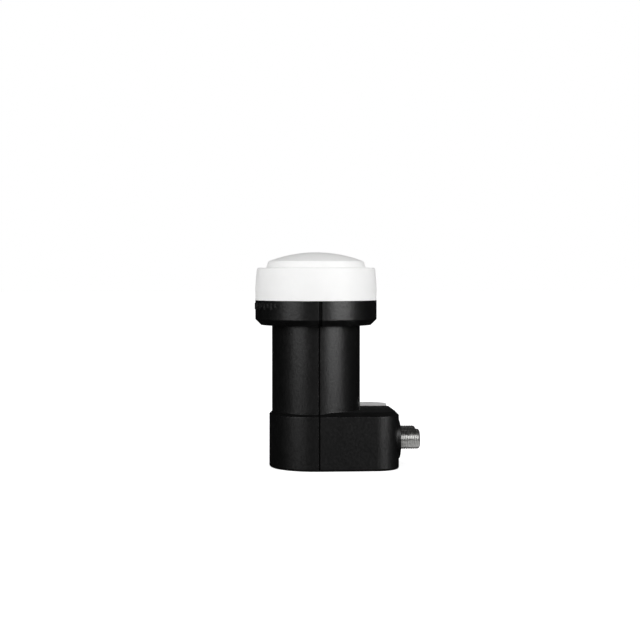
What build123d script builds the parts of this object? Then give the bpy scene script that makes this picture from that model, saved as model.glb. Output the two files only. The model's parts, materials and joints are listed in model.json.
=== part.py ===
from build123d import *
import os
from math import cos, radians, sin, sqrt

# Twin-output satellite LNB. Origin on the neck axis at the bottom of the base,
# +Z along the neck to the white feed cap, +X to the two output ports.

# Housing: two moulded halves that meet on the neck axis
NECK_D = 40.0  # the standard neck that a dish arm's clamp holds
NECK_L = 38.3
BASE_H = 26.0
BASE_STEP = 1.2  # ledge of the base outside the neck
BASE_REACH = 36.6  # neck axis to the port end
BASE_CORNER_R = 11.0
BASE_TOP_CHAMFER = 1.9
BASE_FOOT_R = 1.0
COLLAR_OVERHANG = 7.6
COLLAR_H = 11.2
COLLAR_CHAMFER = 2.6
COLLAR_EDGE_R = 0.5
HOUSING_WALL = 2.0
SEAM_W = 0.8
SEAM_DEPTH = 0.5
SEAM_FOOT = 0.8  # from the underside, which the groove leaves whole
COLLAR_SEAM_W = 1.6
RIB_T = 1.6
RIB_COUNT = 2
POST_R = 2.0
FLOOR_POST_H = 2.0
FLOOR_POSTS_ROUND_HALF = [(-8.0, 5.5)]
FLOOR_POSTS_PORT_HALF = [(6.0, 8.0)]
END_FLOOR_POST = (14.6, 6.0)  # back from the port end, and off the centre line
END_CEILING_POST = (12.6, 9.0)

# Snap tongues that hold the halves together
TONGUE_T = 1.5
TONGUE_REACH = 5.0  # past the seam
TONGUE_ROOT = 9.5  # back from the seam to the wall that carries it
TONGUE_HALF_W = 2.2
TONGUE_CATCH = 0.8
TONGUE_CATCH_L = 1.6
TONGUE_GAP = 0.9  # tongue to the wall beside it
CATCH_PLAY = 0.25

# Skew scale on the collar
TICK_STEP = 5.0
TICK_HALF_RANGE = 45.0
TICK_W = 0.9
TICK_H = 0.3
TICK_LONG = 2.9
TICK_SHORT = 1.8
TICK_DROP = 1.2  # collar top to the head of the ticks

# Feed cap
CAP_WALL = 1.8
CAP_STRAIGHT_H = 2.5
CAP_SIDE_H = 14.7
CAP_TAPER = 0.8
CAP_SHOULDER_W = 4.2
CAP_EDGE_R = 0.9
CAP_TIER_H = 2.9
CAP_TIER_TAPER = 0.9
CAP_TIER_R = 0.8
CAP_DOME_H = 4.1
CAP_SKIRT_T = 1.6
CAP_SKIRT_LIFT = 0.5  # skirt foot to the collar floor
CAP_BEAD = 0.5

# Feed horn and chassis, one casting
GUIDE_R = 9.25
TUBE_WALL = 2.75
MOUTH_FLARE = 1.6
HORN_FLANGE_T = 4.0
CHOKE_DEPTH = 6.5
CHOKE_COUNT = 2
CHOKE_RING_T = 1.4
CHOKE_RIM_T = 1.8
SEAL_W = 2.2
SEAL_DEPTH = 1.4
SEAL_EDGE = 0.5
TRAY_GAP = 0.4
TRAY_WALL = 2.0
TRAY_PLATE_T = 2.4
GUSSET_T = 1.8
GUSSET_W = 4.5
GUSSET_H = 6.0
END_BLOCK_T = 5.0
END_BLOCK_RISE = 6.6  # port axis to the block's top

# Back cover, gasket and screws
COVER_T = 1.8
GASKET_T = 0.5
CUP_WALL = 2.0
CUP_SLOT_W = 3.6
CUP_SLOT_H = 1.6
DIVIDER_T = 1.2
DIVIDER_CRYSTAL_GAP = 1.0
DIVIDER_BLOCK_GAP = 1.7
SCREW_R = 1.25
SCREW_HEAD_R = 2.2
SCREW_HEAD_H = 1.4
SCREW_GRIP = 6.0
SCREW_PLAY = 0.1
SCREW_INSET = 3.2  # chassis outline to the screw axis
SCREW_BOSS_R = 2.6
SCREW_ANGLE = 62.0  # side screws of the round end, from -X
SCREW_SIDE_X = 12.0

# Circuit board and the components on its lower face
BOARD_T = 0.8
BOARD_GAP = 0.3
PROBE_W = 3.0
PROBE_L = 5.5
PROBE_ANGLES = (45.0, -45.0)
CHIP_AT = (15.5, 0.0)
CHIP_SIZE = (5.0, 5.0, 0.9)
CHIP_MARK_R = 0.4
CRYSTAL_GAP = 0.8  # chip to crystal
CRYSTAL_SIZE = (3.2, 2.5, 0.8)
TRANSISTOR_SIZE = (2.0, 1.3, 0.9)
TRANSISTOR_LEAD = (0.4, 0.5, 0.15)
TRANSISTOR_CUP_GAP = 1.05  # cup wall to the first stage
TRANSISTOR_PITCH = 3.3  # first stage to second
REGULATOR_AT = (9.2, 11.5)  # back from the end block, and off the centre line
REGULATOR_SIZE = (4.5, 2.5, 1.5)
REGULATOR_LEAD = (0.5, 1.2, 0.4)
REGULATOR_PITCH = 1.5
CHOKE_COIL_BACK = 7.2  # end block to the coil, on the port's line
CHOKE_COIL_R = 1.6
CHOKE_COIL_H = 2.8
CHOKE_WAIST_R = 1.1
CHOKE_FLANGE_T = 0.5
CAPACITOR_SIZE = (1.6, 0.8, 0.8)
CHIP_CAPACITOR_OFFSETS = [(-2.9, 4.6), (0.5, 4.4), (3.0, 4.4)]  # from the chip
END_CAPACITOR_AT = (4.2, 11.8)  # back from the end block, and off the centre line

# Output ports
PORT_PITCH = 14.0
PORT_Z = 12.8
PORT_R = 4.65  # crest of the 3/8-32 thread
PORT_EXPOSED = 9.1
PORT_RELIEF_R = 4.3  # plain neck between the hexagon and the thread
PORT_LEAD_IN = 0.7
PORT_BORE_R = 3.3
PORT_SHANK_R = 4.0
PORT_HEX_AF = 10.5
PORT_HEX_T = 1.6
PORT_SEAL_T = 0.5
PORT_PLAY = 0.2
PAD_R = 8.8
PAD_H = 0.5
PAD_EDGE_R = 0.3
INSULATOR_RECESS = 0.5
INSULATOR_NOSE_T = 1.2
INSULATOR_BACK_T = 1.8
INSULATOR_MOUTH_R = 1.0
INSULATOR_CONE = 0.5
CONTACT_R = 1.2
CONTACT_NOSE_L = 0.4  # front of the contact inside the insulator's mouth
CONTACT_BORE_R = 0.55
CONTACT_BORE_L = 6.0
CONTACT_TAIL_R = 0.45
CONTACT_TAIL_L = 3.6  # tail beyond the end block, over the board

# Blank plate on the base
BLANK_PLATE_T = 1.3
BLANK_PLATE_W = 5.4
BLANK_PLATE_MARGIN = 0.1
BLANK_PLATE_NECK_GAP = 1.6
BLANK_PLATE_EDGE = 0.3

# Clearances
FIT = 0.15  # moulded parts that locate on each other
SNUG = 0.03  # turned parts in their bores

# Radii and levels that follow
neck_r = NECK_D / 2
base_r = neck_r + BASE_STEP
collar_r = neck_r + COLLAR_OVERHANG
neck_bore_r = neck_r - HOUSING_WALL
collar_bore_r = collar_r - HOUSING_WALL
tube_r = GUIDE_R + TUBE_WALL
skirt_out_r = collar_bore_r - FIT
skirt_in_r = skirt_out_r - CAP_SKIRT_T
flange_r = skirt_in_r - FIT
tray_inset = HOUSING_WALL + TRAY_GAP

base_top = BASE_H
base_ceiling = base_top - HOUSING_WALL
collar_z = base_top + NECK_L
collar_floor = collar_z + HOUSING_WALL
collar_top = collar_z + COLLAR_H
choke_floor = collar_floor + HORN_FLANGE_T
horn_top = choke_floor + CHOKE_DEPTH
cover_z = HOUSING_WALL + FLOOR_POST_H
cover_top = cover_z + COVER_T
rim_z = cover_top + GASKET_T
board_z = PORT_Z + CONTACT_TAIL_R
board_top = board_z + BOARD_T
plate_top = board_top + TRAY_PLATE_T

pad_x = BASE_REACH + PAD_H
port_tip_x = pad_x + PORT_EXPOSED
tray_end_x = BASE_REACH - tray_inset
block_x = tray_end_x - END_BLOCK_T
hex_x = tray_end_x + PORT_HEX_T
seal_x = hex_x + PORT_SEAL_T
hex_corner_r = PORT_HEX_AF / sqrt(3)
pocket_r = hex_corner_r + PORT_PLAY
port_sides = {1: -PORT_PITCH / 2, 2: PORT_PITCH / 2}
crystal_x = CHIP_AT[0] + (CHIP_SIZE[0] + CRYSTAL_SIZE[0]) / 2 + CRYSTAL_GAP

contact_back_x = block_x + INSULATOR_BACK_T
contact_tip_x = port_tip_x - INSULATOR_RECESS - INSULATOR_NOSE_T
contact_nose_x = contact_tip_x + CONTACT_NOSE_L
insulator_split_x = (contact_back_x + contact_tip_x - CONTACT_BORE_L) / 2

BIG = 4 * (BASE_REACH + collar_top)  # half-space cutter


# Shape helpers
def slab(face, z0, z1):
    """Prism of a flat face between two levels."""
    return Pos(0, 0, z0) * extrude(face, amount=z1 - z0)


def ring(r_in, r_out, z0, z1):
    return slab(Circle(r_out) - Circle(r_in), z0, z1)


def rod(r, z0, z1, x=0.0, y=0.0):
    return slab(Pos(x, y) * Circle(r), z0, z1)


def block(x0, x1, y0, y1, z0, z1):
    return Pos((x0 + x1) / 2, (y0 + y1) / 2, (z0 + z1) / 2) * Box(x1 - x0, y1 - y0, z1 - z0)


def turned(profile):
    """Revolve a profile drawn as (radius, height) about the neck axis."""
    return revolve(Plane.XZ * profile, axis=Axis.Z)


def polygon(*points):
    return make_face(Polyline(*points, close=True))


def rounded(face, corner, radius):
    return fillet(face.vertices().sort_by_distance((corner[0], corner[1], 0))[:1], radius)


def half_space(side):
    """The space on the -X or the +X side of the seam."""
    return Pos(side * BIG / 2, 0, 0) * Box(BIG, BIG, BIG)


def both_sides(places):
    """Each (x, y) place and its mirror image across the XZ plane."""
    return [(x, s * y) for x, y in places for s in ((1, -1) if y else (1,))]


def from_end(place, end=BASE_REACH):
    """A place given by its distance back from an end face."""
    return (end - place[0], place[1])


def base_outline(inset):
    """Plan of the base: a half round about the neck axis and a square end with round corners."""
    half = base_r - inset
    corner = BASE_CORNER_R - inset
    end = BASE_REACH - inset
    flat = end - corner
    side = half - corner
    return make_face(
        Line((0, -half), (flat, -half))
        + CenterArc((flat, -side), corner, -90, 90)
        + Line((end, -side), (end, side))
        + CenterArc((flat, side), corner, 0, 90)
        + Line((flat, half), (0, half))
        + CenterArc((0, 0), half, 90, 180)
    )


def tray_outline(inset=0.0):
    return base_outline(tray_inset + inset)


def screw_places():
    """Screw axes on an inner offset of the chassis outline."""
    half = base_r - tray_inset - SCREW_INSET
    corner = BASE_CORNER_R - tray_inset
    reach = (corner - SCREW_INSET) * cos(radians(45))
    angle = radians(SCREW_ANGLE)
    corner_x = tray_end_x - corner + reach
    corner_y = base_r - tray_inset - corner + reach
    return both_sides(
        [
            (-half, 0.0),
            (-half * cos(angle), half * sin(angle)),
            (SCREW_SIDE_X, half),
            (corner_x, corner_y),
        ]
    )


def along_x(profile, y):
    """Revolve a profile drawn as (x, radius) about a port axis."""
    return Pos(0, y, PORT_Z) * revolve(profile, axis=Axis.X)


def union(solids):
    whole = solids[0]
    for solid in solids[1:]:
        whole += solid
    return whole


# Housing
def inner_chamfer(size, inset):
    """Chamfer of a form that lies an even depth inside a chamfered one."""
    return size - inset * (2 - sqrt(2))


def outer_form(inset=0.0):
    """Outside of the housing, or the same form a little inside it."""
    base = slab(base_outline(inset), inset, base_top - inset)
    top_edges = base.edges().group_by(Axis.Z)[-1]
    base = chamfer(top_edges, inner_chamfer(BASE_TOP_CHAMFER, inset))
    base = fillet(base.edges().group_by(Axis.Z)[0], BASE_FOOT_R)
    r_neck, r_collar = neck_r - inset, collar_r - inset
    under = collar_z + inset
    bevel = inner_chamfer(COLLAR_CHAMFER, inset)
    profile = polygon(
        (0, base_ceiling),
        (r_neck, base_ceiling),
        (r_neck, under),
        (r_collar - bevel, under),
        (r_collar, under + bevel),
        (r_collar, collar_top),
        (0, collar_top),
    )
    profile = rounded(profile, (r_collar - bevel, under), COLLAR_EDGE_R)
    profile = rounded(profile, (r_collar, under + bevel), COLLAR_EDGE_R)
    return base + turned(profile)


def housing_cavity():
    base = slab(base_outline(HOUSING_WALL), HOUSING_WALL, base_ceiling)
    neck = rod(neck_bore_r, HOUSING_WALL, collar_top)
    collar = rod(collar_bore_r, collar_floor, collar_top)
    bead_z = (collar_floor + collar_top) / 2
    groove = CAP_BEAD + FIT
    bead = turned(
        polygon(
            (collar_bore_r - FIT, bead_z - groove),
            (collar_bore_r - FIT + groove, bead_z),
            (collar_bore_r - FIT, bead_z + groove),
        )
    )
    return base + neck + collar + bead


def seam_groove():
    """Shadow line where the halves meet, wider over the collar."""
    skin = outer_form() - outer_form(SEAM_DEPTH)
    narrow = Pos(0, 0, SEAM_FOOT + BIG / 2) * Box(SEAM_W, BIG, BIG)
    wide = Pos(0, 0, collar_z + BIG / 2) * Box(COLLAR_SEAM_W, BIG, BIG)
    return skin & (narrow + wide)


def port_pad():
    """Raised land round the two ports."""
    land = Plane.YZ * (Pos(0, PORT_Z) * SlotCenterToCenter(PORT_PITCH, 2 * PAD_R))
    start = BASE_REACH - BASE_CORNER_R
    pad = Pos(start, 0, 0) * extrude(land, amount=pad_x - start)
    return fillet(pad.edges().group_by(Axis.X)[-1], PAD_EDGE_R)


def tongue_rows():
    """Outer face and height of each pair of tongues, in the neck and in the base."""
    neck_wall = sqrt(neck_bore_r**2 - TONGUE_REACH**2)
    base_wall = base_r - HOUSING_WALL
    return [
        (neck_wall - TONGUE_GAP, base_top + NECK_L / 2),
        (base_wall - TONGUE_GAP, (plate_top + base_ceiling) / 2),
    ]


def tongues():
    pieces = []
    for outer, z in tongue_rows():
        for side in (1, -1):
            y0, y1 = sorted((side * (outer - TONGUE_T), side * outer))
            c0, c1 = sorted((side * outer, side * (outer + TONGUE_GAP + TONGUE_CATCH)))
            z0, z1 = z - TONGUE_HALF_W, z + TONGUE_HALF_W
            arm = block(-TONGUE_ROOT, TONGUE_REACH, y0, y1, z0, z1)
            catch = block(TONGUE_REACH - TONGUE_CATCH_L, TONGUE_REACH, c0, c1, z0, z1)
            pieces.append(arm + catch)
    return pieces


def catch_pockets():
    """Recesses in the port half that take the catches."""
    pieces = []
    for outer, z in tongue_rows():
        for side in (1, -1):
            y_far = outer + TONGUE_GAP + TONGUE_CATCH + CATCH_PLAY
            y0, y1 = sorted((side * (outer - TONGUE_T), side * y_far))
            half_w = TONGUE_HALF_W + CATCH_PLAY
            x0 = TONGUE_REACH - TONGUE_CATCH_L - CATCH_PLAY
            pieces.append(block(x0, TONGUE_REACH + CATCH_PLAY, y0, y1, z - half_w, z + half_w))
    return pieces


def neck_ribs():
    """Webs inside the neck that centre the waveguide tube."""
    webs = []
    for i in range(RIB_COUNT):
        z = base_top + NECK_L * (i + 1) / (RIB_COUNT + 1)
        webs.append(ring(tube_r + FIT, neck_bore_r + HOUSING_WALL / 2, z - RIB_T / 2, z + RIB_T / 2))
    return union(webs)


def skew_ticks():
    count = int(TICK_HALF_RANGE // TICK_STEP)
    marks = []
    for i in range(-count, count + 1):
        length = TICK_LONG if i % 2 == 0 else TICK_SHORT
        top = collar_top - TICK_DROP
        x0, x1 = -collar_r - TICK_H, -collar_r + HOUSING_WALL / 2
        mark = block(x0, x1, -TICK_W / 2, TICK_W / 2, top - length, top)
        marks.append(Rot(0, 0, i * TICK_STEP) * mark)
    return marks


def housing():
    """Both halves, by side."""
    shell = outer_form() + port_pad() - housing_cavity() - seam_groove() + neck_ribs()
    halves = {side: shell & half_space(side) for side in (-1, 1)}

    for mark in skew_ticks():
        halves[-1] += mark
    for x, y in both_sides(FLOOR_POSTS_ROUND_HALF):
        halves[-1] += rod(POST_R, HOUSING_WALL, cover_z, x, y)
    for piece in tongues():
        halves[-1] += piece

    for x, y in both_sides(FLOOR_POSTS_PORT_HALF + [from_end(END_FLOOR_POST)]):
        halves[1] += rod(POST_R, HOUSING_WALL, cover_z, x, y)
    for x, y in both_sides([from_end(END_CEILING_POST)]):
        halves[1] += rod(POST_R, plate_top, base_ceiling, x, y)
    for piece in catch_pockets():
        halves[1] -= piece
    for y in port_sides.values():
        hole = Pos(0, y, PORT_Z) * (Rot(0, 90, 0) * Cylinder(PORT_R + PORT_PLAY, BIG))
        face = polygon((tray_end_x, 0), (seal_x, 0), (seal_x, pocket_r), (tray_end_x, pocket_r))
        halves[1] -= (hole & half_space(1)) + along_x(face, y)
    return halves


# Feed cap and its seal
def cap_form(inset, z0):
    side_r = collar_r - inset
    side_top = collar_top + CAP_SIDE_H - inset
    shoulder_r = side_r - CAP_TAPER
    tier_r = collar_r - CAP_TAPER - CAP_SHOULDER_W - inset
    tier_top_r = tier_r - CAP_TIER_TAPER
    tier_top = side_top + CAP_TIER_H
    straight = collar_top + CAP_STRAIGHT_H
    profile = make_face(
        Polyline((0, z0), (side_r, z0), (side_r, straight))
        + TangentArc((side_r, straight), (shoulder_r, side_top), tangent=(0, 1))
        + Polyline((shoulder_r, side_top), (tier_r, side_top), (tier_top_r, tier_top))
        + TangentArc((0, tier_top + CAP_DOME_H), (tier_top_r, tier_top), tangent=(1, 0))
        + Line((0, tier_top + CAP_DOME_H), (0, z0))
    )
    profile = rounded(profile, (shoulder_r, side_top), CAP_EDGE_R)
    profile = rounded(profile, (tier_top_r, tier_top), CAP_TIER_R)
    return turned(profile)


def feed_cap():
    shell = cap_form(0.0, collar_top) - cap_form(CAP_WALL, collar_top + CAP_WALL)
    foot = collar_floor + CAP_SKIRT_LIFT
    skirt = rod(skirt_out_r, foot, collar_top + CAP_WALL)
    bead_z = (collar_floor + collar_top) / 2
    bead = turned(
        polygon(
            (skirt_in_r, bead_z - CAP_BEAD),
            (skirt_out_r, bead_z - CAP_BEAD),
            (skirt_out_r + CAP_BEAD, bead_z),
            (skirt_out_r, bead_z + CAP_BEAD),
            (skirt_in_r, bead_z + CAP_BEAD),
        )
    )
    return shell + skirt + bead - rod(skirt_in_r, foot, collar_top + CAP_WALL)


def cap_seal():
    mid = collar_floor + HORN_FLANGE_T / 2
    r0, r1 = flange_r - SEAL_DEPTH + SNUG, skirt_in_r - SNUG
    z0, z1 = mid - SEAL_W / 2 + SNUG, mid + SEAL_W / 2 - SNUG
    face = polygon((r0, z0), (r1, z0), (r1, z1), (r0, z1))
    return turned(chamfer(face.vertices(), SEAL_EDGE))


# Horn and chassis casting
def choke_grooves():
    """Ring grooves round the horn's mouth."""
    inner = GUIDE_R + MOUTH_FLARE + CHOKE_RING_T
    room = flange_r - CHOKE_RIM_T - inner
    width = (room - (CHOKE_COUNT - 1) * CHOKE_RING_T) / CHOKE_COUNT
    grooves = []
    for i in range(CHOKE_COUNT):
        r = inner + i * (width + CHOKE_RING_T)
        grooves.append(ring(r, r + width, choke_floor, horn_top))
    return union(grooves)


def gusset():
    face = polygon(
        (tube_r - TUBE_WALL / 2, plate_top),
        (tube_r + GUSSET_W, plate_top),
        (tube_r, plate_top + GUSSET_H),
        (tube_r - TUBE_WALL / 2, plate_top + GUSSET_H),
    )
    return Pos(0, GUSSET_T / 2, 0) * extrude(Plane.XZ * face, amount=GUSSET_T)


def horn_casting():
    head = rod(flange_r, collar_floor, horn_top) - choke_grooves()
    mid = collar_floor + HORN_FLANGE_T / 2
    head -= ring(flange_r - SEAL_DEPTH, flange_r, mid - SEAL_W / 2, mid + SEAL_W / 2)
    tube = rod(tube_r, board_top, collar_floor)
    plate = slab(tray_outline(), board_top, plate_top)
    wall = slab(tray_outline() - tray_outline(TRAY_WALL), rim_z, board_top)
    beyond = block(block_x, BIG, -BIG, BIG, rim_z, PORT_Z + END_BLOCK_RISE)
    end_block = slab(tray_outline(), rim_z, PORT_Z + END_BLOCK_RISE) & beyond
    casting = head + tube + plate + wall + end_block
    for i in range(4):
        casting += Rot(0, 0, 45 + 90 * i) * gusset()
    for x, y in screw_places():
        casting += rod(SCREW_BOSS_R, rim_z, board_top, x, y) & slab(tray_outline(), rim_z, board_top)
    for x, y in screw_places():
        casting -= rod(SCREW_R + SCREW_PLAY / 2, rim_z, rim_z + SCREW_GRIP + SCREW_PLAY, x, y)
    mouth_r = GUIDE_R + MOUTH_FLARE
    bore = turned(
        polygon(
            (0, board_top),
            (GUIDE_R, board_top),
            (GUIDE_R, collar_floor),
            (mouth_r, horn_top),
            (0, horn_top),
        )
    )
    casting -= bore
    for y in port_sides.values():
        r = PORT_SHANK_R + SNUG
        casting -= along_x(polygon((block_x, 0), (tray_end_x, 0), (tray_end_x, r), (block_x, r)), y)
    return casting


# Cover, gasket, screws
def back_cover():
    cover = slab(tray_outline(), cover_z, cover_top)
    cup = ring(GUIDE_R, GUIDE_R + CUP_WALL, cover_top, board_z)
    for angle in PROBE_ANGLES:
        inside = GUIDE_R - CUP_WALL
        outside = GUIDE_R + 2 * CUP_WALL
        slot = block(inside, outside, -CUP_SLOT_W / 2, CUP_SLOT_W / 2, board_z - CUP_SLOT_H, board_z)
        cup -= Rot(0, 0, angle) * slot
    x0 = crystal_x + CRYSTAL_SIZE[0] / 2 + DIVIDER_CRYSTAL_GAP
    x1 = block_x - DIVIDER_BLOCK_GAP
    divider = block(x0, x1, -DIVIDER_T / 2, DIVIDER_T / 2, cover_top, board_z)
    cover += cup + divider
    for x, y in screw_places():
        cover -= rod(SCREW_R + SCREW_PLAY, cover_z, cover_top, x, y)
    return cover


def lid_gasket():
    face = tray_outline() - tray_outline(TRAY_WALL)
    for x, y in screw_places():
        face += (Pos(x, y) * Circle(SCREW_BOSS_R)) & tray_outline()
    for x, y in screw_places():
        face -= Pos(x, y) * Circle(SCREW_R + SCREW_PLAY)
    return slab(face, cover_top, rim_z)


def cover_screw(x, y):
    shank = rod(SCREW_R, cover_z, rim_z + SCREW_GRIP, x, y)
    head = rod(SCREW_HEAD_R, cover_z - SCREW_HEAD_H, cover_z, x, y)
    head = chamfer(head.edges().group_by(Axis.Z)[0], SCREW_HEAD_H / 3)
    z0, half_w = cover_z - SCREW_HEAD_H, SCREW_R / 4
    slot = block(x - SCREW_HEAD_R, x + SCREW_HEAD_R, y - half_w, y + half_w, z0, z0 + SCREW_HEAD_H / 2)
    return shank + head - slot


# Board and components
def main_board():
    face = tray_outline(TRAY_WALL + BOARD_GAP)
    keep = Pos(block_x - BOARD_GAP - BIG / 2, 0) * Rectangle(BIG, BIG)
    face = face & keep
    for x, y in screw_places():
        face -= Pos(x, y) * Circle(SCREW_BOSS_R + BOARD_GAP)
    face -= Circle(GUIDE_R)
    for angle in PROBE_ANGLES:
        tongue = Pos(GUIDE_R - PROBE_L / 2 + PROBE_W / 4, 0) * Rectangle(PROBE_L + PROBE_W / 2, PROBE_W)
        face += Rot(0, 0, angle) * tongue
    return slab(face, board_z, board_top)


def on_board(x, y, size):
    """A box that hangs from the lower face of the board."""
    return Pos(x, y, board_z - size[2] / 2) * Box(*size)


def converter_chip():
    chip = on_board(*CHIP_AT, CHIP_SIZE)
    mark_x = CHIP_AT[0] - CHIP_SIZE[0] / 2 + 2 * CHIP_MARK_R
    mark_y = CHIP_AT[1] + CHIP_SIZE[1] / 2 - 2 * CHIP_MARK_R
    low = board_z - CHIP_SIZE[2]
    return chip - rod(CHIP_MARK_R, low, low + CHIP_SIZE[2] / 6, mark_x, mark_y)


def reference_crystal():
    can = on_board(crystal_x, CHIP_AT[1], CRYSTAL_SIZE)
    return fillet(can.edges().filter_by(Axis.Z), CRYSTAL_SIZE[2] / 2)


def transistor_stages():
    """Place and heading of each transistor: a first stage at its probe, then a second towards the ports."""
    r = GUIDE_R + CUP_WALL + TRANSISTOR_CUP_GAP + TRANSISTOR_SIZE[0] / 2
    stages = []
    for angle in PROBE_ANGLES:
        x, y = r * cos(radians(angle)), r * sin(radians(angle))
        stages += [(x, y, angle), (x + TRANSISTOR_PITCH, y, 0.0)]
    return stages


def transistor(x, y, angle):
    body = on_board(0, 0, TRANSISTOR_SIZE)
    for sx in (1, -1):
        for sy in (1, -1):
            lead_x = sx * (TRANSISTOR_SIZE[0] / 2 - TRANSISTOR_LEAD[0])
            lead_y = sy * (TRANSISTOR_SIZE[1] + TRANSISTOR_LEAD[1]) / 2
            body += on_board(lead_x, lead_y, TRANSISTOR_LEAD)
    return Pos(x, y, 0) * Rot(0, 0, angle) * body


def regulator(side):
    x, y = from_end(REGULATOR_AT, block_x)
    body = on_board(x, side * y, REGULATOR_SIZE)
    for i in (-1, 0, 1):
        lead_y = side * (y + (REGULATOR_SIZE[1] + REGULATOR_LEAD[1]) / 2)
        body += on_board(x + i * REGULATOR_PITCH, lead_y, REGULATOR_LEAD)
    return body


def output_choke(y):
    x = block_x - CHOKE_COIL_BACK
    low = board_z - CHOKE_COIL_H
    coil = rod(CHOKE_WAIST_R, low, board_z, x, y)
    for z in (low, board_z - CHOKE_FLANGE_T):
        coil += rod(CHOKE_COIL_R, z, z + CHOKE_FLANGE_T, x, y)
    return coil


def chip_capacitors():
    places = [(CHIP_AT[0] + x, CHIP_AT[1] + y) for x, y in CHIP_CAPACITOR_OFFSETS]
    places.append(from_end(END_CAPACITOR_AT, block_x))
    return [on_board(x, y, CAPACITOR_SIZE) for x, y in both_sides(places)]


# Output ports
def port_body(y):
    barrel = along_x(
        polygon(
            (block_x, 0),
            (block_x, PORT_SHANK_R),
            (tray_end_x, PORT_SHANK_R),
            (tray_end_x, PORT_RELIEF_R),
            (pad_x, PORT_RELIEF_R),
            (pad_x, PORT_R),
            (port_tip_x - PORT_LEAD_IN, PORT_R),
            (port_tip_x, PORT_R - PORT_LEAD_IN),
            (port_tip_x, 0),
        ),
        y,
    )
    hexagon = Plane.YZ * (Pos(y, PORT_Z) * RegularPolygon(hex_corner_r, 6))
    barrel += Pos(tray_end_x, 0, 0) * extrude(hexagon, amount=PORT_HEX_T)
    bore = polygon((block_x, 0), (port_tip_x, 0), (port_tip_x, PORT_BORE_R), (block_x, PORT_BORE_R))
    return barrel - along_x(bore, y)


def port_front_insulator(y):
    r = PORT_BORE_R - SNUG
    nose = port_tip_x - INSULATOR_RECESS
    face = polygon(
        (insulator_split_x, CONTACT_R + SNUG),
        (insulator_split_x, r),
        (nose, r),
        (nose, INSULATOR_MOUTH_R + INSULATOR_CONE),
        (nose - INSULATOR_CONE, INSULATOR_MOUTH_R),
        (contact_tip_x, INSULATOR_MOUTH_R),
        (contact_tip_x, CONTACT_R + SNUG),
    )
    return along_x(face, y)


def port_rear_insulator(y):
    r = PORT_BORE_R - SNUG
    face = polygon(
        (block_x, CONTACT_TAIL_R + SNUG),
        (block_x, r),
        (insulator_split_x, r),
        (insulator_split_x, CONTACT_R + SNUG),
        (contact_back_x, CONTACT_R + SNUG),
        (contact_back_x, CONTACT_TAIL_R + SNUG),
    )
    return along_x(face, y)


def port_contact(y):
    nose_r = INSULATOR_MOUTH_R - SNUG
    face = polygon(
        (block_x - CONTACT_TAIL_L, 0),
        (block_x - CONTACT_TAIL_L, CONTACT_TAIL_R),
        (contact_back_x, CONTACT_TAIL_R),
        (contact_back_x, CONTACT_R),
        (contact_tip_x, CONTACT_R),
        (contact_tip_x, nose_r),
        (contact_nose_x, nose_r),
        (contact_nose_x, CONTACT_BORE_R),
        (contact_nose_x - CONTACT_BORE_L, CONTACT_BORE_R),
        (contact_nose_x - CONTACT_BORE_L, 0),
    )
    return along_x(face, y)


def port_seal(y):
    r0, r1 = PORT_RELIEF_R + SNUG, pocket_r - SNUG
    return along_x(polygon((hex_x, r0), (seal_x, r0), (seal_x, r1), (hex_x, r1)), y)


def blank_plate():
    """Plain light plate along one side of the base's top, from the neck to the corner."""
    inset = BASE_TOP_CHAMFER + BLANK_PLATE_MARGIN
    near_y = base_r - inset - BLANK_PLATE_W
    start_x = sqrt(neck_r**2 - near_y**2) + BLANK_PLATE_NECK_GAP
    reach = 2 * BASE_REACH
    corner = Pos(start_x + reach / 2, near_y + reach / 2) * Rectangle(reach, reach)
    plate = slab(base_outline(inset) & corner, base_top, base_top + BLANK_PLATE_T)
    return chamfer(plate.edges().group_by(Axis.Z)[-1], BLANK_PLATE_EDGE)


# Nodes
shells = housing()
nodes = {
    "feed_cap": feed_cap(),
    "cap_seal": cap_seal(),
    "housing_round_half": shells[-1],
    "housing_port_half": shells[1],
    "horn_casting": horn_casting(),
    "back_cover": back_cover(),
    "lid_gasket": lid_gasket(),
    "cover_screws": Compound([cover_screw(x, y) for x, y in screw_places()]),
    "main_board": main_board(),
    "converter_chip": converter_chip(),
    "reference_crystal": reference_crystal(),
    "chip_capacitors": Compound(chip_capacitors()),
    "blank_plate": blank_plate(),
}
for i, stage in enumerate(transistor_stages(), 1):
    nodes[f"low_noise_transistor_{i}"] = transistor(*stage)
for i, y in port_sides.items():
    side = 1 if y > 0 else -1
    nodes[f"regulator_{i}"] = regulator(side)
    nodes[f"output_choke_{i}"] = output_choke(y)
    nodes[f"port_{i}_body"] = port_body(y)
    nodes[f"port_{i}_front_insulator"] = port_front_insulator(y)
    nodes[f"port_{i}_rear_insulator"] = port_rear_insulator(y)
    nodes[f"port_{i}_contact"] = port_contact(y)
    nodes[f"port_{i}_seal"] = port_seal(y)

os.makedirs("parts", exist_ok=True)
for name, shape in nodes.items():
    export_step(shape, f"parts/{name}.step")
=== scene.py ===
import json
import math

import bpy
import bmesh
from mathutils import Euler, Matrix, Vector


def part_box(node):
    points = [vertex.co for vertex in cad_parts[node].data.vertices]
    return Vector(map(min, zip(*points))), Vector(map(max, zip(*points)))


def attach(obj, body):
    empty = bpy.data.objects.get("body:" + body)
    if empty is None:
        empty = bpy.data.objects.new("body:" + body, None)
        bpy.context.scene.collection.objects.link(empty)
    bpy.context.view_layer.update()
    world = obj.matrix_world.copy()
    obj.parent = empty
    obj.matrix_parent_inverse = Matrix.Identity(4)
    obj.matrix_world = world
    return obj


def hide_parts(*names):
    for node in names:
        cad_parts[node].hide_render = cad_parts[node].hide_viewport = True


# Twin-output satellite LNB, standing on its base in a white studio.
# Lengths are in metres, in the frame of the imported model.

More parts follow.
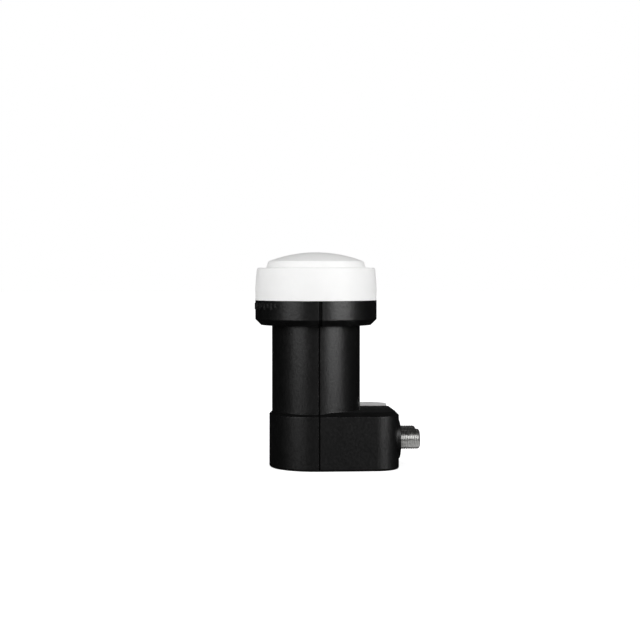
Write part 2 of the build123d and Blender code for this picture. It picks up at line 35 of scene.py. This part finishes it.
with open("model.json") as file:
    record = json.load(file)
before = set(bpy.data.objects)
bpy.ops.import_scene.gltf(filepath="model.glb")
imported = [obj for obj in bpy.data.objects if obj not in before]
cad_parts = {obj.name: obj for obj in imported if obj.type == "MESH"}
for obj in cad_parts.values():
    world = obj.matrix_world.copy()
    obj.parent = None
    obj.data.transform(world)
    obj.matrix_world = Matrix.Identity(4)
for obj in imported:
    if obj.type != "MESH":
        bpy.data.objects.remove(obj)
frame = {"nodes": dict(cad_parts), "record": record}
nodes = frame["nodes"]
scene = bpy.context.scene
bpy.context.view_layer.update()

MM = 0.001
WHITE = (1, 1, 1, 1)

# Camera
CAMERA_AZIMUTH = 4.4  # degrees round the neck axis, from straight in front
CAMERA_DISTANCE = 670 * MM
CAMERA_HEIGHT = 87.8 * MM
CAMERA_OFFSET = 1.83 * MM  # camera axis to the right of the neck axis
CAMERA_SENSOR = 36
CAMERA_LENS = 82.8
CAMERA_SHIFT_Y = -0.0734
CAMERA_CLIP = (0.01, 50)

# Soft lamps: turn right of the camera and rise in degrees, size, radiance, and whether gloss mirrors them
LAMP_DISTANCE = 1.2
LAMP_AIM = 50 * MM  # height of the point on the neck axis that they face
SOFTBOXES = [
    ("left_box", -45, 17, (0.75, 0.65), 2.05, True),
    ("right_box", 48.5, 17, (0.85, 0.65), 4.5, True),
    ("front_box", 4, 38, (1.0, 0.6), 1.2, True),
    ("front_card", 4, -2, (0.9, 0.25), 0.05, True),
    ("left_fill", -80, 25, (0.8, 0.8), 2.4, False),
    ("right_fill", 115, 25, (0.8, 0.8), 0.7, False),
    ("top_fill", 0, 80, (0.8, 0.8), 0.7, False),
    ("back_box", 150, 40, (0.6, 0.6), 0.4, True),
]

# Light cards that lie on the floor: centre, size and radiance
PORT_CARD = ((57 * MM, -30 * MM, 0.5 * MM), (38 * MM, 50 * MM), 0.85)
BACK_CARD = ((0, 280 * MM, 0.5 * MM), (52 * MM, 440 * MM), 0.45)

# Floor and world, which are white to the camera and dim in reflections, for the housing's black sides
WORLD_FILL = 0.24  # on matt surfaces
WORLD_MIRRORED = 0.01
FLOOR_HALF = 6.0
FLOOR_ROUGHNESS = 0.9
FLOOR_WHITE = 0.75
FLOOR_MIRRORED = (0.045, 0.01)  # in front of the object, and beside and behind it
FLOOR_MIRRORED_REACH = (-35 * MM, -12 * MM)
FLOOR_GLOW = (0.7, 1.0)  # near the object, and far from it
FLOOR_GLOW_REACH = (0.1, 0.6)

# Port body and its thread, 3/8-32
THREAD_PITCH = 25.4 / 32 * MM
THREAD_DEPTH = 0.46 * MM
THREAD_STEEPNESS = 1.3  # over 1 leaves flats at crest and root
THREAD_RUNOUT = 0.5 * MM  # over which the thread grows deep at the pad
THREAD_STEPS = 12  # rings to one turn
LEAD_IN = 0.7 * MM
PORT_SEGMENTS = 96
PORT_CREST_R = 4.65 * MM
PORT_BORE_R = 3.3 * MM
PORT_SHANK_R = 4.0 * MM
PORT_SHANK_L = 5.0 * MM
PORT_RELIEF_R = 4.3 * MM
PORT_HEX_AF = 10.5 * MM
PORT_HEX_T = 1.6 * MM
PORT_EXPOSED = 9.1 * MM
PORT_ANGLES = [2 * math.pi * i / PORT_SEGMENTS for i in range(PORT_SEGMENTS)]
SHARP_ANGLE = math.radians(38)

# Faces of the housing with a finish of their own: painted shade in the seam groove and on the base's
# chamfer, a painted highlight on the collar's ticks, and a duller top
HOUSING_HALVES = ("housing_round_half", "housing_port_half")
FACE_FINISHES = ("dull_painted_shade", "tick_painted_highlight", "matt_top")
SEAM_HALF_W = 0.4 * MM
COLLAR_SEAM_HALF_W = 0.8 * MM
COLLAR_Z = 64.3 * MM
COLLAR_R = 27.6 * MM
BASE_TOP_Z = 26.0 * MM
BASE_TOP_CHAMFER = 1.9 * MM
FACE_SLACK = 0.01 * MM

# Noise, and what its values lie between
NOISE_ROUGHNESS = 0.55
SLOW_DETAIL = 4.0
FINE_DETAIL = 2.0
COLOUR_REACH = (0.3, 0.7)
MOTTLE_REACH = (0.35, 0.65)
EDGE_SAMPLES = 8
SUBSURFACE_SCALE = 0.8 * MM

# Circuit board, with a weave and a gloss in cells to the metre
BOARD_WEAVE = 900
BOARD_CLOUD = 400
BOARD_COLOURS = {
    "Color1": (0.42, 0.43, 0.34, 1),
    "Color2": (0.47, 0.48, 0.38, 1),
    "Mortar": (0.36, 0.37, 0.29, 1),
}
BOARD_ROUGHNESS = (0.35, 0.5)
BOARD_RELIEF = 0.004 * MM

# Finishes by slot: colours and roughness between two ends, with cloud and grain in cells to the metre
FINISHES = {
    # Satin black moulding with a fine spark-eroded grain
    "black_plastic": dict(
        low=(0.002, 0.002, 0.0021), high=(0.004, 0.004, 0.0041), rough=(0.275, 0.365), specular=0.84,
        cloud=140, grain=950, relief=0.05 * MM, edge=0.2 * MM, mottled=True,
    ),
    # Unpolished plastic, painted darker as shade in the groove between the halves and along the base's
    # chamfer
    "dull_painted_shade": dict(
        low=(0.0012, 0.0012, 0.0012), high=(0.003, 0.003, 0.003), rough=(0.7, 0.85), specular=0.1,
        cloud=500, grain=4200,
    ),
    # Coarser, duller moulding on top of the base
    "matt_top": dict(
        low=(0.004, 0.004, 0.0041), high=(0.007, 0.007, 0.0071), rough=(0.5, 0.65), specular=0.2,
        cloud=140, grain=1300, relief=0.08 * MM,
    ),
    # Ticks of the collar's scale, painted a little lighter than the moulding as a highlight on their
    # raised tops
    "tick_painted_highlight": dict(
        low=(0.011, 0.011, 0.011), high=(0.018, 0.018, 0.018), rough=(0.34, 0.44), cloud=900, grain=3000,
    ),
    # Weatherproof white moulding of the feed cap
    "white_plastic": dict(
        low=(0.85, 0.85, 0.845), high=(0.88, 0.88, 0.875), rough=(0.42, 0.5), subsurface=0.08,
        cloud=90, grain=3000, relief=0.006 * MM, edge=0.4 * MM,
    ),
    # Seals and gasket
    "seal_rubber": dict(
        low=(0.012, 0.012, 0.012), high=(0.03, 0.03, 0.03), rough=(0.6, 0.75), grain=3500,
    ),
    # Die-cast zinc, dull and slightly pitted
    "cast_alloy": dict(
        low=(0.42, 0.43, 0.44), high=(0.55, 0.56, 0.57), rough=(0.36, 0.52), metallic=1.0,
        cloud=260, grain=1800, relief=0.03 * MM, edge=0.3 * MM,
    ),
    # Plated screws of the back cover
    "screw_steel": dict(
        low=(0.5, 0.5, 0.5), high=(0.66, 0.65, 0.62), rough=(0.22, 0.34), metallic=1.0,
        cloud=900, edge=0.1 * MM,
    ),
    # Moulded packages on the board
    "package_black": dict(
        low=(0.018, 0.018, 0.02), high=(0.04, 0.04, 0.042), rough=(0.5, 0.65),
        cloud=900, grain=9000, edge=0.05 * MM,
    ),
    # Metal can of the reference crystal
    "crystal_can": dict(
        low=(0.6, 0.6, 0.58), high=(0.72, 0.71, 0.68), rough=(0.2, 0.35), metallic=1.0, cloud=700,
    ),
    # Fired brown ceramic
    "capacitor_ceramic": dict(
        low=(0.3, 0.2, 0.12), high=(0.42, 0.29, 0.18), rough=(0.4, 0.6), cloud=1200,
    ),
    # Dark pressed ferrite
    "choke_ferrite": dict(
        low=(0.05, 0.05, 0.055), high=(0.1, 0.1, 0.1), rough=(0.55, 0.7), cloud=1500,
    ),
    # Plain light plate with a soft sheen
    "plate_light": dict(
        low=(0.6, 0.6, 0.595), high=(0.68, 0.68, 0.675), rough=(0.45, 0.55), cloud=220, relief=0.004 * MM,
    ),
    # Nickel plate over turned brass
    "port_nickel": dict(
        low=(0.55, 0.55, 0.54), high=(0.68, 0.68, 0.67), rough=(0.24, 0.36), metallic=1.0,
        cloud=700, grain=6000, relief=0.008 * MM,
    ),
    # White plastic that holds the contact
    "port_insulator": dict(
        low=(0.66, 0.66, 0.63), high=(0.74, 0.74, 0.71), rough=(0.4, 0.55), cloud=600,
    ),
    # Bare spring brass
    "contact_brass": dict(
        low=(0.56, 0.40, 0.14), high=(0.72, 0.55, 0.22), rough=(0.2, 0.35), metallic=1.0, cloud=1500,
    ),
}


# Node helpers
def new_material(name):
    """A node material, with its tree and its Principled shader."""
    material = bpy.data.materials.new(name)
    material.use_nodes = True
    tree = material.node_tree
    return material, tree, tree.nodes["Principled BSDF"]


def object_coords(tree):
    """Places in the object's own frame."""
    return tree.nodes.new("ShaderNodeTexCoord").outputs["Object"]


def noise(tree, scale, detail):
    """A noise texture in object space, in cells to the metre."""
    texture = tree.nodes.new("ShaderNodeTexNoise")
    texture.inputs["Scale"].default_value = scale
    texture.inputs["Detail"].default_value = detail
    texture.inputs["Roughness"].default_value = NOISE_ROUGHNESS
    tree.links.new(object_coords(tree), texture.inputs["Vector"])
    return texture.outputs["Fac"]


def colour_between(tree, factor, low, high):
    """A colour that goes from low to high as the factor goes over its reach."""
    node = tree.nodes.new("ShaderNodeValToRGB")
    for stop, position, colour in zip(node.color_ramp.elements, COLOUR_REACH, (low, high)):
        stop.position = position
        stop.color = (*colour, 1)
    tree.links.new(factor, node.inputs["Fac"])
    return node.outputs["Color"]


def value_between(tree, factor, low, high, reach=(0.0, 1.0)):
    """A value that goes from low to high as the factor goes over its reach."""
    node = tree.nodes.new("ShaderNodeMapRange")
    node.inputs["From Min"].default_value, node.inputs["From Max"].default_value = reach
    node.inputs["To Min"].default_value = low
    node.inputs["To Max"].default_value = high
    tree.links.new(factor, node.inputs["Value"])
    return node.outputs["Result"]


def calculate(tree, operation, one, two):
    """The result of an operation on two values."""
    node = tree.nodes.new("ShaderNodeMath")
    node.operation = operation
    tree.links.new(one, node.inputs[0])
    tree.links.new(two, node.inputs[1])
    return node.outputs["Value"]


def add_relief(tree, shader, height, distance, edge=0.0):
    """Relief on the shader's normal, over edges rounded by a small radius."""
    node = tree.nodes.new("ShaderNodeBump")
    node.inputs["Strength"].default_value = 1.0
    node.inputs["Distance"].default_value = distance
    tree.links.new(height, node.inputs["Height"])
    if edge:
        bevel = tree.nodes.new("ShaderNodeBevel")
        bevel.samples = EDGE_SAMPLES
        bevel.inputs["Radius"].default_value = edge
        tree.links.new(bevel.outputs["Normal"], node.inputs["Normal"])
    tree.links.new(node.outputs["Normal"], shader.inputs["Normal"])


# Materials
def finish(
    name, low, high, rough, metallic=0.0, specular=0.5, subsurface=0.0,
    cloud=180, grain=2500, relief=0.01 * MM, edge=0.0, mottled=False,
):
    """A surface with slow colour change, uneven gloss and a fine grain, which may mottle the gloss too."""
    material, tree, shader = new_material(name)
    shader.inputs["Metallic"].default_value = metallic
    shader.inputs["Specular IOR Level"].default_value = specular
    if subsurface:
        shader.inputs["Subsurface Weight"].default_value = subsurface
        shader.inputs["Subsurface Radius"].default_value = (1.0, 1.0, 1.0)
        shader.inputs["Subsurface Scale"].default_value = SUBSURFACE_SCALE
    slow = noise(tree, cloud, SLOW_DETAIL)
    fine = noise(tree, grain, FINE_DETAIL)
    if mottled:
        gloss = value_between(tree, fine, *rough, reach=MOTTLE_REACH)
    else:
        gloss = value_between(tree, slow, *rough)
    tree.links.new(colour_between(tree, slow, low, high), shader.inputs["Base Color"])
    tree.links.new(gloss, shader.inputs["Roughness"])
    add_relief(tree, shader, fine, relief, edge)
    return material


def board_laminate():
    """Pale microwave laminate with a faint woven glass grain."""
    material, tree, shader = new_material("board_laminate")
    weave = tree.nodes.new("ShaderNodeTexBrick")
    weave.inputs["Scale"].default_value = BOARD_WEAVE
    for name, colour in BOARD_COLOURS.items():
        weave.inputs[name].default_value = colour
    gloss = value_between(tree, noise(tree, BOARD_CLOUD, SLOW_DETAIL), *BOARD_ROUGHNESS)
    tree.links.new(object_coords(tree), weave.inputs["Vector"])
    tree.links.new(weave.outputs["Color"], shader.inputs["Base Color"])
    tree.links.new(gloss, shader.inputs["Roughness"])
    add_relief(tree, shader, weave.outputs["Fac"], BOARD_RELIEF)
    return material


def floor_glow(tree, path):
    """A glow that only the camera sees, which grows to white away from the object."""
    distance = tree.nodes.new("ShaderNodeVectorMath")
    distance.operation = "LENGTH"
    tree.links.new(object_coords(tree), distance.inputs[0])
    glow = value_between(tree, distance.outputs["Value"], *FLOOR_GLOW, reach=FLOOR_GLOW_REACH)
    return calculate(tree, "MULTIPLY", path.outputs["Is Camera Ray"], glow)


def floor_tone(tree, path):
    """White paint that is dim where it is mirrored, and dimmest beside and behind the object."""
    place = tree.nodes.new("ShaderNodeSeparateXYZ")
    tree.links.new(object_coords(tree), place.inputs["Vector"])
    mirrored = value_between(tree, place.outputs["Y"], *FLOOR_MIRRORED, reach=FLOOR_MIRRORED_REACH)
    tone = tree.nodes.new("ShaderNodeMix")
    tone.inputs["A"].default_value = FLOOR_WHITE
    tree.links.new(path.outputs["Is Glossy Ray"], tone.inputs["Factor"])
    tree.links.new(mirrored, tone.inputs["B"])
    return tone.outputs["Result"]


def floor_white():
    """Matt white floor, which keeps the object's shade."""
    material, tree, shader = new_material("floor_white")
    path = tree.nodes.new("ShaderNodeLightPath")
    shader.inputs["Roughness"].default_value = FLOOR_ROUGHNESS
    shader.inputs["Specular IOR Level"].default_value = 0.0
    shader.inputs["Emission Color"].default_value = WHITE
    tree.links.new(floor_tone(tree, path), shader.inputs["Base Color"])
    tree.links.new(floor_glow(tree, path), shader.inputs["Emission Strength"])
    return material


def dress_nodes(materials):
    """Give each CAD node the material of its slot."""
    for part in frame["record"]["subparts"]:
        mesh = nodes[part["node"]].data
        mesh.materials.clear()
        mesh.materials.append(materials[part["material_slot"]])


# Finishes of the housing's own faces
def in_seam(corners):
    """Whether a face of a housing half lies in the groove, or where the halves meet, where shade is
    painted.
    """
    over_collar = min(v.z for v in corners) > COLLAR_Z - FACE_SLACK
    half_width = COLLAR_SEAM_HALF_W if over_collar else SEAM_HALF_W
    return all(abs(v.x) < half_width + FACE_SLACK for v in corners)


def on_tick(corners):
    """Whether a face is the outer face of a tick of the collar's scale, which takes a painted highlight.
    """
    return all(v.z > COLLAR_Z and v.xy.length > COLLAR_R + FACE_SLACK for v in corners)


def face_finish(corners):
    """Name of the finish that a face takes, or none where it is plain moulding."""
    low, high = min(v.z for v in corners), max(v.z for v in corners)
    if in_seam(corners):
        return "dull_painted_shade"
    if on_tick(corners):
        return "tick_painted_highlight"
    if high > BASE_TOP_Z + FACE_SLACK or low < BASE_TOP_Z - BASE_TOP_CHAMFER - FACE_SLACK:
        return None
    # The base's top takes the duller moulding, and the chamfer below it takes painted shade
    return "matt_top" if low > BASE_TOP_Z - FACE_SLACK else "dull_painted_shade"


def paint_half(mesh, materials):
    """Give the faces of a housing half their finishes, painted shade and a painted highlight among them.
    """
    index = {}
    for name in FACE_FINISHES:
        index[name] = len(mesh.materials)
        mesh.materials.append(materials[name])
    for face in mesh.polygons:
        name = face_finish([mesh.vertices[i].co for i in face.vertices])
        if name:
            face.material_index = index[name]


def add_object(name, data):
    """An object of the scene."""
    piece = bpy.data.objects.new(name, data)
    scene.collection.objects.link(piece)
    return piece


# Threaded ports
def hexagon_radius(angle):
    """Radius of the hexagon's side at an angle, with a corner at 0."""
    sixth = math.pi / 3
    return PORT_HEX_AF / 2 / math.cos(angle % sixth - sixth / 2)


def thread_radius(x, angle, start, tip):
    """Radius of the thread's surface: a 60 degree V with narrow flats."""
    phase = ((x - start) / THREAD_PITCH - angle / (2 * math.pi)) % 1.0
    ridge = 1 - abs(2 * phase - 1)
    ridge = min(max(THREAD_STEEPNESS * (ridge - 0.5) + 0.5, 0.0), 1.0)
    fade = min((x - start) / THREAD_RUNOUT, 1.0)
    radius = PORT_CREST_R - THREAD_DEPTH * (1 - ridge) * fade
    return min(radius, PORT_CREST_R - LEAD_IN + (tip - x))


def circle(radius):
    """A round ring's radius at each angle."""
    return [radius] * PORT_SEGMENTS


def port_rings(back, tip):
    """Rings of the outline as x and the radius at each angle, from the back face round to the bore."""
    pad = tip - PORT_EXPOSED
    hex_start = back + PORT_SHANK_L
    hex_end = hex_start + PORT_HEX_T
    hexagon = [hexagon_radius(a) for a in PORT_ANGLES]
    rings = [
        (back, circle(PORT_SHANK_R)),
        (hex_start, circle(PORT_SHANK_R)),
        (hex_start, hexagon),
        (hex_end, hexagon),
        (hex_end, circle(PORT_RELIEF_R)),
        (pad, circle(PORT_RELIEF_R)),
    ]
    steps = round(PORT_EXPOSED / THREAD_PITCH * THREAD_STEPS)
    for i in range(steps + 1):
        x = pad + PORT_EXPOSED * i / steps
        rings.append((x, [thread_radius(x, a, pad, tip) for a in PORT_ANGLES]))
    rings += [(tip, circle(PORT_BORE_R)), (back, circle(PORT_BORE_R))]
    return rings


def port_mesh(name, rings, centre):
    """A mesh of faces from each ring to the next, and from the last to the first."""
    mesh = bmesh.new()
    loops = []
    for x, radii in rings:
        loops.append([
            mesh.verts.new((x, centre.y + r * math.cos(a), centre.z + r * math.sin(a)))
            for a, r in zip(PORT_ANGLES, radii)
        ])
    for near, far in zip(loops, loops[1:] + loops[:1]):
        for i in range(PORT_SEGMENTS):
            j = (i + 1) % PORT_SEGMENTS
            mesh.faces.new((near[i], near[j], far[j], far[i]))
    bmesh.ops.recalc_face_normals(mesh, faces=mesh.faces)
    data = bpy.data.meshes.new(name)
    mesh.to_mesh(data)
    mesh.free()
    data.shade_smooth()
    data.set_sharp_from_angle(angle=SHARP_ANGLE)
    return data


def threaded_port(node, nickel):
    """The port's body with its thread cut, in place of the plain one."""
    lo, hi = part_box(node)
    name = f"{node}_threaded"
    data = port_mesh(name, port_rings(lo.x, hi.x), (lo + hi) / 2)
    data.materials.append(nickel)
    piece = add_object(name, data)
    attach(piece, "root")
    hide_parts(node)
    return piece


# Studio
def floor():
    """A large flat floor under the object."""
    far = FLOOR_HALF
    data = bpy.data.meshes.new("floor")
    data.from_pydata([(-far, -far, 0), (far, -far, 0), (far, far, 0), (-far, far, 0)], [], [(0, 1, 2, 3)])
    data.materials.append(floor_white())
    add_object("floor", data)


def area_lamp(name, size, radiance):
    """A rectangular lamp that the camera doesn't see."""
    lamp = bpy.data.lights.new(name, "AREA")
    lamp.shape = "RECTANGLE"
    lamp.size, lamp.size_y = size
    lamp.energy = radiance * math.pi * size[0] * size[1]
    piece = add_object(name, lamp)
    piece.visible_camera = False
    return piece


def softbox(name, turn, rise, size, radiance, mirrored):
    """A soft lamp that faces the object, turn degrees right of the camera and rise degrees up."""
    turn, rise = math.radians(turn - CAMERA_AZIMUTH), math.radians(rise)
    away = Vector((math.sin(turn) * math.cos(rise), -math.cos(turn) * math.cos(rise), math.sin(rise)))
    piece = area_lamp(name, size, radiance)
    piece.location = Vector((0, 0, LAMP_AIM)) + away * LAMP_DISTANCE
    piece.rotation_euler = (-away).to_track_quat("-Z", "Y").to_euler()
    piece.visible_glossy = mirrored


def floor_card(name, place, size, radiance):
    """A light card that lies on the floor and faces up, to be mirrored in the object."""
    piece = area_lamp(name, size, radiance)
    piece.location = place
    piece.rotation_euler = (math.pi, 0, 0)
    return piece


def light_only(lamp, pieces):
    """Keep a lamp's light to some pieces."""
    lit = bpy.data.collections.new(f"lit_by_{lamp.name}")
    for piece in pieces:
        lit.objects.link(piece)
    lamp.light_linking.receiver_collection = lit


def studio_world():
    """White to the camera, a soft fill on matt surfaces and dim in reflections."""
    world = bpy.data.worlds.new("studio")
    world.use_nodes = True
    tree = world.node_tree
    background = tree.nodes["Background"]
    path = tree.nodes.new("ShaderNodeLightPath")
    fill = value_between(tree, path.outputs["Is Glossy Ray"], WORLD_FILL, WORLD_MIRRORED)
    strength = calculate(tree, "MAXIMUM", path.outputs["Is Camera Ray"], fill)
    background.inputs["Color"].default_value = WHITE
    tree.links.new(strength, background.inputs["Strength"])
    scene.world = world


def camera():
    """A level camera in front of the object, whose picture is shifted down to it."""
    azimuth = math.radians(CAMERA_AZIMUTH)
    forward = Vector((math.sin(azimuth), math.cos(azimuth), 0))
    right = Vector((math.cos(azimuth), -math.sin(azimuth), 0))
    data = bpy.data.cameras.new("camera")
    data.sensor_width = CAMERA_SENSOR
    data.lens = CAMERA_LENS
    data.shift_y = CAMERA_SHIFT_Y
    data.clip_start, data.clip_end = CAMERA_CLIP
    piece = add_object("camera", data)
    piece.location = -forward * CAMERA_DISTANCE + right * CAMERA_OFFSET + Vector((0, 0, CAMERA_HEIGHT))
    piece.rotation_euler = Euler((math.pi / 2, 0, -azimuth))
    scene.camera = piece


# The dressed object
materials = {name: finish(name, **values) for name, values in FINISHES.items()}
materials["board_laminate"] = board_laminate()
dress_nodes(materials)
for half in HOUSING_HALVES:
    paint_half(nodes[half].data, materials)
ports = [threaded_port(f"port_{i}_body", materials["port_nickel"]) for i in (1, 2)]

# The studio round it
floor()
studio_world()
for values in SOFTBOXES:
    softbox(*values)
light_only(floor_card("port_card", *PORT_CARD), ports)
floor_card("back_card", *BACK_CARD)
camera()
scene.view_settings.view_transform = "Standard"
